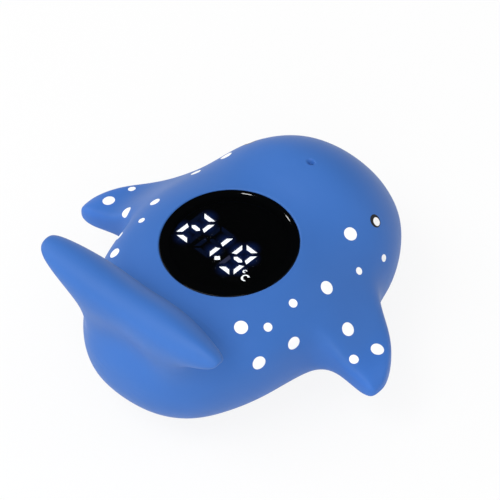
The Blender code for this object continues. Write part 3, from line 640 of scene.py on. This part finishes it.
def raise_rim(mesh):
    """Lifts the skin beside the lens to its face, less and less further out, so that the lens lies flush."""
    matrix = module_matrix()
    back = matrix.inverted()
    radius = bpy.context.scene.whale_sizes.lens_diameter / 2
    up = matrix.col[2].to_3d()
    tree = BVHTree.FromBMesh(mesh)
    rises = []
    for step in range(RIM_SEGMENTS):
        angle = 2 * pi * step / RIM_SEGMENTS
        start = matrix @ Vector((radius * cos(angle), radius * sin(angle), CAST_HEIGHT))
        place, _, _, _ = tree.ray_cast(start, -up)
        rises.append(RIM_HEIGHT - (back @ place).z)
    for vert in mesh.verts:
        place = back @ vert.co
        share = 1 - ease((place.xy.length - radius) / RIM_BAND)
        if vert.co.z > FACE_LOW and share > 0.0:
            step, rest = divmod(atan2(place.y, place.x) / (2 * pi) * RIM_SEGMENTS, 1.0)
            near, far = rises[int(step) % RIM_SEGMENTS], rises[(int(step) + 1) % RIM_SEGMENTS]
            vert.co += up * (near + (far - near) * rest) * share


def press_blowhole(mesh):
    """A small dimple with a soft edge on the middle line of the head."""
    middle = Vector((0.0, BLOWHOLE_Y, 0.0))
    wide, long, deep = BLOWHOLE
    for _ in range(BLOWHOLE_CUTS):
        near = [edge for edge in mesh.edges
                if all((vert.co - middle).xy.length < BLOWHOLE_REACH * wide and vert.co.z > FACE_LOW
                       for vert in edge.verts)]
        bmesh.ops.subdivide_edges(mesh, edges=near, cuts=1, use_grid_fill=True, smooth=1.0)
    mesh.normal_update()
    moves = []
    for vert in mesh.verts:
        offset = (vert.co - middle).xy
        far = Vector((offset.x / wide, offset.y / long)).length
        if vert.co.z > FACE_LOW and far < 1.0:
            moves.append((vert, vert.normal * -deep * (1 - far * far) ** 2))
    for vert, move in moves:
        vert.co += move


def stand_flat(mesh):
    """Cuts the belly off at the floor and closes it with a flat face."""
    made = bmesh.ops.bisect_plane(mesh, geom=mesh.verts[:] + mesh.edges[:] + mesh.faces[:], dist=WELD,
                                  plane_co=(0.0, 0.0, 0.0), plane_no=(0.0, 0.0, 1.0), clear_inner=True)
    rim = [item for item in made["geom_cut"] if isinstance(item, bmesh.types.BMEdge)]
    bmesh.ops.edgeloop_fill(mesh, edges=rim)


def lens_opening(skin):
    """The tool that opens the skin over the lens, flared so that the vinyl's edge is rounded."""
    sizes = bpy.context.scene.whale_sizes
    radius = sizes.lens_diameter / 2 + LENS_GAP
    rounding = sizes.rim_round
    matrix = module_matrix()
    back = matrix.inverted()
    down = -matrix.col[2].to_3d()
    surface = evaluated(skin)
    mesh = bmesh.new()
    number = mesh.verts.layers.int.new("number")
    made = bmesh.ops.create_circle(mesh, radius=1.0, segments=RIM_SEGMENTS)
    sides = []
    heights = []
    for index, vert in enumerate(made["verts"]):
        vert[number] = index
        side = vert.co.normalized()
        start = matrix @ (side * (radius + rounding) + Vector((0.0, 0.0, CAST_HEIGHT)))
        hit, place, _, _ = surface.ray_cast(start, down)
        if not hit:
            raise RuntimeError("the lens opening misses the skin")
        sides.append(side)
        heights.append((back @ place).z)
        vert.co = side * radius
        vert.co.z = -TOP_FLANGE_DEPTH - GAP
    steps = [(1 - cos(angle), sin(angle)) for angle in map(radians, RIM_ANGLES)]
    rim = mesh.edges[:]
    for wider, higher in (*steps, *RIM_ENDS):
        grown = bmesh.ops.extrude_edge_only(mesh, edges=rim)["geom"]
        rim = [item for item in grown if isinstance(item, bmesh.types.BMEdge)]
        for vert in {vert for edge in rim for vert in edge.verts}:
            vert.co = sides[vert[number]] * (radius + rounding * wider)
            vert.co.z = heights[vert[number]] + rounding * (higher - 1)
    bmesh.ops.holes_fill(mesh, edges=mesh.edges, sides=0)
    bmesh.ops.transform(mesh, matrix=matrix, verts=mesh.verts)
    return piece("lens_opening", mesh)


def module_tools(skin):
    """The hollow of the skin and the room for the module in it."""
    sizes = bpy.context.scene.whale_sizes
    height = -(module_matrix().inverted() @ Vector((0.0, sizes.display_y, 0.0))).z - MODULE_RECESS
    room = sizes.lens_diameter / 2 + FLANGE_WIDTH + GAP
    return [
        mirrored("hollow", body_cage(sizes.skin_wall, BELLY_INSET)[0], HOLLOW_SMOOTHNESS),
        lens_opening(skin),
        rod("module_room", room, LOW_FLANGE_RISE - height - GAP, GAP - TOP_FLANGE_DEPTH),
        rod("base_opening", CASE_RADIUS + GAP, -sizes.body_length, LOW_FLANGE_RISE - height),
    ]


def eye_mask(finish, x, y, z, diameter):
    """1 inside a spot on either side of the head."""
    return greatest([finish.spot(side * x, y, z, diameter) for side in (1, -1)])


def skin_finish():
    """Satin vinyl, a little cloudy and dusty, with painted light on the fin tips and painted dots and eyes.
    """
    colours = bpy.context.scene.whale_colours
    finish = Finish("blue_vinyl", specular_ior_level=0.28, sheen_weight=0.04, sheen_roughness=0.4)
    cloud = finish.noise(VINYL_CLOUDS, 3.0)
    grain = finish.noise(VINYL_GRAIN)
    pores = finish.noise(VINYL_PORES)
    blue = Vector(colours.vinyl)
    colour = finish.mix(cloud, blue * (1 - VINYL_UNEVENNESS), blue * (1 + VINYL_UNEVENNESS))
    # Painted light: out towards the fin tips the blue blends to a lighter one, for more light falling on them
    across = abs(finish.split(finish.place)[0])
    colour = finish.mix(((across - PAINTED_LIGHT_START) * (1 / PAINTED_LIGHT_BLEND)).clamped(), colour, colours.tips)
    specks = finish.add("ShaderNodeTexVoronoi", None, {"Vector": finish.place, "Scale": 1 / SPECK_SPACING})
    shares = finish.add("ShaderNodeSeparateColor", None, {0: specks.outputs["Color"]})
    chance = Value(finish, shares.outputs[0])
    dust = (Value(finish, specks.outputs["Distance"]) < SPECK_SIZE) * (chance < SPECK_CHANCE) * SPECK_STRENGTH
    colour = finish.mix(dust, colour, (0.6, 0.68, 0.8))
    dots = greatest([finish.spot(*dot) for dot in DOTS])
    eyes = eye_mask(finish, *EYE)
    colour = finish.mix(dots, colour, colours.paint)
    colour = finish.mix(eyes, colour, (0.008, 0.008, 0.01))
    colour = finish.mix(eye_mask(finish, *PUPIL), colour, colours.paint)
    painted = dots.over(eyes)
    finish.set({"Base Color": colour,
                "Roughness": 0.5 + cloud.swing(0.08) + pores.swing(0.06) - painted * 0.12})
    finish.bump(grain * 0.5 + pores * 0.5 + painted * 0.6, 0.35, 0.02 * MM)
    return finish


class WHALE_OT_skin(bpy.types.Operator):
    """Build the moulded vinyl skin with its fins, flukes, blowhole and openings"""
    bl_idname = "whale.skin"
    bl_label = "Vinyl skin"

    def execute(self, context):
        mesh = smoothed_whale()
        lean(mesh)
        raise_rim(mesh)
        press_blowhole(mesh)
        stand_flat(mesh)
        skin = piece("whale_shell", mesh, skin_finish().material)
        cut(skin, module_tools(skin))
        shade(skin.data, SHARP_ANGLE)
        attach(skin, "root")
        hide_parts("whale_skin")
        return {"FINISHED"}


def lens_finish():
    """Black gloss, faintly smeared, that lets the lit readout through inside its dark border."""
    finish = Finish("smoked_lens", specular_ior_level=0.5)
    smear = finish.noise(9.0 * MM)
    clear = finish.distance((0.0, 0.0, 0.0), finish.module_place()) < CLEAR_RADIUS
    finish.set({"Base Color": (0.0004, 0.0006, 0.0008, 1.0), "Roughness": 0.03 + smear * 0.03,
                "Alpha": 1 - clear * LENS_CLEARNESS})
    return finish


class WHALE_OT_window(bpy.types.Operator):
    """Build the glossy black lens over the display"""
    bl_idname = "whale.window"
    bl_label = "Lens"

    def execute(self, context):
        radius = context.scene.whale_sizes.lens_diameter / 2
        drop = (LENS_STEP[1] - LENS_STEP[0]) * tan(LENS_STEP_SLOPE)
        edge = [(radius - LENS_EDGE * (1 - sin(angle)), -LENS_EDGE * (1 - cos(angle)) - drop)
                for angle in map(radians, LENS_EDGE_ANGLES)]
        profile = [(0.0, 0.0), (LENS_STEP[0], 0.0), (LENS_STEP[1], -drop), *edge,
                   (radius, -LENS_THICKNESS), (0.0, -LENS_THICKNESS)]
        lens = piece("display_window", turned(profile, LENS_SEGMENTS), lens_finish().material, merge=False,
                     sharp=LENS_SHARP_ANGLE)
        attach(lens, "root")
        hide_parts("display_lens")
        return {"FINISHED"}


def segment_zone(x, y, side, level):
    """1 on one segment of a cell, 0 elsewhere; neighbours are parted along their mitred ends."""
    half_x, half_y = (size / 2 for size in CELL_SIZE)
    if side:
        out, along = x * side, y * level
        strip = (abs(out - half_x) < SEGMENT_REACH) * (along > 0.0)
        return strip * (along - out < half_y - half_x - SEGMENT_PARTING)
    if level:
        out = y * (level / 2)
        return (abs(out - half_y) < SEGMENT_REACH) * (abs(x) - out < half_x - half_y - SEGMENT_PARTING)
    return (abs(x) < MIDDLE_REACH) * (abs(y) < SEGMENT_REACH)


def guide_finish():
    """White resin that shines on lit segments, with painted shade, near black, over the rest of the cells."""
    guide = Finish("white_resin", emission_strength=SEGMENT_LIGHT)
    x, y, _ = guide.split(guide.module_place())
    y = y - READOUT_Y
    cells = greatest([abs(x - centre) < CELL_SIZE[0] / 2 + SEGMENT_REACH for centre in CELL_CENTRES])
    lit = greatest([segment_zone(x - centre, y, side, level)
                    for centre, segments in zip(CELL_CENTRES, LIT_SEGMENTS) for side, level in segments])
    dark = cells * (1 - lit)
    cell, side, level = FAINT_SEGMENT
    faint = segment_zone(x - CELL_CENTRES[cell], y, side, level)
    # Painted shade: unlit segments of the white resin are coloured near black, for the dark behind the lens
    guide.set({"Base Color": guide.mix(dark, (0.8, 0.85, 0.9), (0.004, 0.004, 0.006)),
               "Emission Color": guide.mix(dark, bpy.context.scene.whale_colours.light,
                                           guide.mix(faint, UNLIT_LIGHT, FAINT_LIGHT)),
               "Roughness": 0.35 + guide.noise(0.8 * MM) * 0.1})
    return guide


def block_finish():
    """Matt black plastic with painted light: a blue glow round the lit segments."""
    block = Finish("black_case", specular_ior_level=0.3, emission_strength=1.0)
    x, y, _ = block.split(block.module_place())
    flat = block.add("ShaderNodeCombineXYZ", None, {0: x, 1: y}).outputs[0]
    half_x, half_y = (size / 2 for size in CELL_SIZE)
    spots = [(centre + side * half_x, READOUT_Y + level / 2 * half_y, 0.0)
             for centre, segments in zip(CELL_CENTRES, LIT_SEGMENTS) for side, level in segments]
    # Painted light: the block itself glows blue round the lit segments, for the light that they spill
    spread = greatest([(GLOW_RADIUS - block.distance(spot, flat)) * (1 / GLOW_RADIUS) for spot in spots])
    spread = spread.over(0.0)
    glow = spread * (2 - spread) * spread
    block.set({"Base Color": (0.006, 0.006, 0.008, 1.0), "Roughness": 0.5 + block.noise(0.4 * MM) * 0.2,
               "Emission Color": block.mix(glow, (0.0, 0.0, 0.0), GLOW_LIGHT)})
    return block


class WHALE_OT_readout(bpy.types.Operator):
    """Light the segments of the readout and black out the rest"""
    bl_idname = "whale.readout"
    bl_label = "Readout"

    def execute(self, context):
        dress(guide_finish(), "light_guide")
        dress(block_finish(), "digit_block")
        return {"FINISHED"}


def moulded(name, colour, roughness, grain, depth):
    """Moulded plastic or rubber: a fine grain of a size and depth in mm and a slightly cloudy colour."""
    finish = Finish(name)
    cloud = finish.noise(12.0 * MM, 3.0)
    dimples = finish.noise(grain * MM)
    base = Vector(colour)
    finish.set({"Base Color": finish.mix(cloud, base * 0.88, base * 1.12),
                "Roughness": roughness + dimples.swing(0.12)})
    finish.bump(dimples, 0.4, depth * MM)
    return finish


def turned_steel(name, colour, roughness):
    """Stainless steel with fine rings of tool marks."""
    finish = Finish(name, metallic=1.0)
    streak = finish.add("ShaderNodeMapping", None, {"Vector": finish.place, "Scale": (9000.0, 900.0, 9000.0)})
    marks = finish.noise(1.0, place=streak.outputs[0])
    cloud = finish.noise(4.0 * MM)
    base = Vector(colour)
    finish.set({"Base Color": finish.mix(cloud, base * 0.9, base),
                "Roughness": roughness + marks.swing(0.15) + cloud.swing(0.1)})
    finish.bump(marks, 0.2, 0.01 * MM)
    return finish


class WHALE_OT_case(bpy.types.Operator):
    """Finish the case, the battery door and the seals"""
    bl_idname = "whale.case"
    bl_label = "Case"

    def execute(self, context):
        dress(moulded("blue_plastic", context.scene.whale_colours.plastic, 0.38, grain=0.5, depth=0.02),
              "upper_case", "lower_case", "battery_door")
        dress(moulded("black_rubber", (0.018, 0.018, 0.02), 0.75, grain=0.2, depth=0.02),
              "case_seal", "probe_seal", "door_seal")
        dress(moulded("black_foam", (0.015, 0.015, 0.015), 0.92, grain=0.25, depth=0.06), "lens_gasket")
        return {"FINISHED"}


class WHALE_OT_metal(bpy.types.Operator):
    """Finish the screws, the probe, the contacts and the battery"""
    bl_idname = "whale.metal"
    bl_label = "Metal parts"

    def execute(self, context):
        dress(turned_steel("stainless_steel", (0.62, 0.62, 0.63), 0.28),
              "case_screw_1", "case_screw_2", "case_screw_3", "probe_cap", "water_contact_1",
              "water_contact_2", "coin_cell", "cell_spring", "cell_clip")
        return {"FINISHED"}


def board_finish():
    """Green solder mask over a pattern of tracks."""
    board = Finish("green_board", specular_ior_level=0.6)
    lines = board.add("ShaderNodeTexBrick", None, {
        "Vector": board.place, "Scale": TRACK_SCALE, "Mortar Size": TRACK_WIDTH})
    tracks = Value(board, lines.outputs["Fac"])
    board.set({"Base Color": board.mix(tracks, (0.012, 0.11, 0.035), (0.03, 0.2, 0.07)),
               "Roughness": 0.4 + tracks * 0.1})
    board.bump(tracks, 0.3, 0.03 * MM)
    return board


class WHALE_OT_electronics(bpy.types.Operator):
    """Finish the board, its parts, the sensor and the leads"""
    bl_idname = "whale.electronics"
    bl_label = "Electronics"

    def execute(self, context):
        dress(board_finish(), "circuit_board")
        dress(moulded("black_resin", (0.012, 0.012, 0.012), 0.35, grain=0.3, depth=0.02), "controller")
        dress(moulded("grey_sleeve", (0.09, 0.1, 0.12), 0.4, grain=0.4, depth=0.01), "capacitor")
        dress(moulded("bead_resin", (0.25, 0.06, 0.02), 0.3, grain=0.4, depth=0.02), "thermistor")
        dress(moulded("red_lead", (0.45, 0.02, 0.02), 0.5, grain=0.3, depth=0.01),
              "thermistor_lead_1", "thermistor_lead_2")
        dress(moulded("blue_lead", (0.02, 0.06, 0.35), 0.5, grain=0.3, depth=0.01),
              "contact_lead_1", "contact_lead_2")
        return {"FINISHED"}


def pale_floor():
    """A floor that looks nearly white and still takes a soft shadow."""
    mesh = bmesh.new()
    bmesh.ops.create_grid(mesh, x_segments=2, y_segments=2, size=FLOOR_REACH)
    bmesh.ops.translate(mesh, vec=(0.0, 0.0, -FLOOR_GAP), verts=mesh.verts)
    pale = Finish("pale_floor", roughness=0.9, specular_ior_level=0.0)
    pale.set({"Base Color": (0.85, 0.85, 0.85, 1.0)})
    path = pale.add("ShaderNodeLightPath").outputs
    rays = ("Is Camera Ray", "Is Glossy Ray", "Is Transmission Ray")
    seen = greatest([Value(pale, path[name]) for name in rays])
    white = pale.add("ShaderNodeEmission", None, {"Strength": 1.0}).outputs[0]
    shown = pale.add("ShaderNodeMixShader", None, {
        0: seen * FLOOR_WHITE, 1: pale.shader.outputs[0], 2: white}).outputs[0]
    pale.fill(pale.tree.nodes["Material Output"], {"Surface": shown})
    floor = piece("floor", mesh, pale.material)


def world_light():
    """White round the horizon, darker overhead in reflections, and plain white behind the object."""
    world = bpy.data.worlds.new("studio")
    bpy.context.scene.world = world
    world.use_nodes = True
    world.node_tree.nodes.clear()
    sky = Graph(world.node_tree)
    path = sky.add("ShaderNodeLightPath").outputs
    height = sky.split(sky.add("ShaderNodeTexCoord").outputs["Generated"])[2]
    band = sky.add("ShaderNodeMapRange", {"interpolation_type": "SMOOTHSTEP"}, {
        "Value": height, "From Min": SKY_BAND[0], "From Max": SKY_BAND[1],
        "To Min": 1.0, "To Max": SKY_REFLECTION})
    diffuse, glossy, plain = (
        sky.add("ShaderNodeBackground", None, {"Color": WHITE, "Strength": strength}).outputs[0]
        for strength in (SKY_LIGHT, band.outputs["Result"], 1.0))
    light = sky.add("ShaderNodeMixShader", None, {0: path["Is Glossy Ray"], 1: diffuse, 2: glossy}).outputs[0]
    seen = Value(sky, path["Is Camera Ray"]).over(Value(sky, path["Is Transmission Ray"]))
    shown = sky.add("ShaderNodeMixShader", None, {0: seen, 1: light, 2: plain}).outputs[0]
    sky.add("ShaderNodeOutputWorld", None, {"Surface": shown})


def lamp(name, place, target, size, power):
    data = bpy.data.lights.new(name, "AREA")
    data.shape = "RECTANGLE"
    data.size, data.size_y = size
    data.energy = power
    made = bpy.data.objects.new(name, data)
    made.location = place
    made.rotation_euler = (Vector(target) - Vector(place)).to_track_quat("-Z", "Y").to_euler()
    made.visible_camera = False
    bpy.context.scene.collection.objects.link(made)


def glint_lamps(back):
    """Small lamps, placed so that the step of the lens mirrors each into the camera."""
    matrix = module_matrix()
    distance, width, power = GLINT_LAMP
    for number, angle in enumerate(map(radians, GLINTS), 1):
        side = Vector((cos(angle), sin(angle), 0.0))
        facing = matrix.to_3x3() @ (side * sin(LENS_STEP_SLOPE) + Vector((0.0, 0.0, cos(LENS_STEP_SLOPE))))
        spot = matrix @ (side * sum(LENS_STEP) / 2)
        way = 2 * facing.dot(back) * facing - back
        lamp(f"glint_lamp_{number}", spot + way * distance, spot, (width, width), power)


def photo_camera(back):
    """The camera of the photograph, far off behind the whale's right side."""
    right = Vector((cos(CAMERA_TURN), sin(CAMERA_TURN), 0.0))
    sizes = bpy.context.scene.whale_sizes
    middle = Vector((0.0, sizes.display_y, sizes.display_height))
    middle += right * FRAME_SHIFT[0] + back.cross(right) * FRAME_SHIFT[1]
    data = bpy.data.cameras.new("camera")
    data.sensor_width = SENSOR_MM
    data.lens = LENS_MM
    data.clip_start, data.clip_end = CLIP_RANGE
    camera = bpy.data.objects.new("camera", data)
    camera.location = middle + back * (FRAME_WIDTH * LENS_MM / SENSOR_MM)
    camera.rotation_euler = (-back).to_track_quat("-Z", "Y").to_euler()
    bpy.context.scene.collection.objects.link(camera)
    bpy.context.scene.camera = camera


class WHALE_OT_stage(bpy.types.Operator):
    """Set out the pale floor, the soft lamps and the camera"""
    bl_idname = "whale.stage"
    bl_label = "Stage"

    def execute(self, context):
        pale_floor()
        world_light()
        for name, place, power in LAMPS:
            lamp(name, place, LAMP_TARGET, LAMP_SIZE, power)
        flat = cos(CAMERA_RISE)
        back = Vector((sin(CAMERA_TURN) * flat, -cos(CAMERA_TURN) * flat, sin(CAMERA_RISE)))
        glint_lamps(back)
        photo_camera(back)
        context.scene.view_settings.view_transform = "Standard"
        return {"FINISHED"}


class WHALE_PT_panel(bpy.types.Panel):
    """Lists the pieces of the whale"""
    bl_label = "Whale bath thermometer"
    bl_idname = "WHALE_PT_panel"
    bl_space_type = "VIEW_3D"
    bl_region_type = "UI"
    bl_category = "Whale"

    def draw(self, context):
        for operator in OPERATORS:
            self.layout.operator(operator.bl_idname)
        for group in (context.scene.whale_sizes, context.scene.whale_colours):
            for name in group.__annotations__:
                self.layout.prop(group, name)


OPERATORS = (WHALE_OT_stage, WHALE_OT_skin, WHALE_OT_window, WHALE_OT_readout, WHALE_OT_case, WHALE_OT_metal,
             WHALE_OT_electronics)
CLASSES = (WhaleSizes, WhaleColours, *OPERATORS, WHALE_PT_panel)


def register():
    for item in CLASSES:
        bpy.utils.register_class(item)
    bpy.types.Scene.whale_sizes = PointerProperty(type=WhaleSizes)
    bpy.types.Scene.whale_colours = PointerProperty(type=WhaleColours)


def unregister():
    del bpy.types.Scene.whale_colours
    del bpy.types.Scene.whale_sizes
    for item in reversed(CLASSES):
        bpy.utils.unregister_class(item)


def main():
    register()
    for name in ("Cube", "Light", "Camera"):
        if name in bpy.data.objects:
            bpy.data.objects.remove(bpy.data.objects[name])
    bpy.ops.whale.stage()
    bpy.ops.whale.skin()
    bpy.ops.whale.window()
    bpy.ops.whale.readout()
    bpy.ops.whale.case()
    bpy.ops.whale.metal()
    bpy.ops.whale.electronics()


if __name__ == "__main__":
    main()
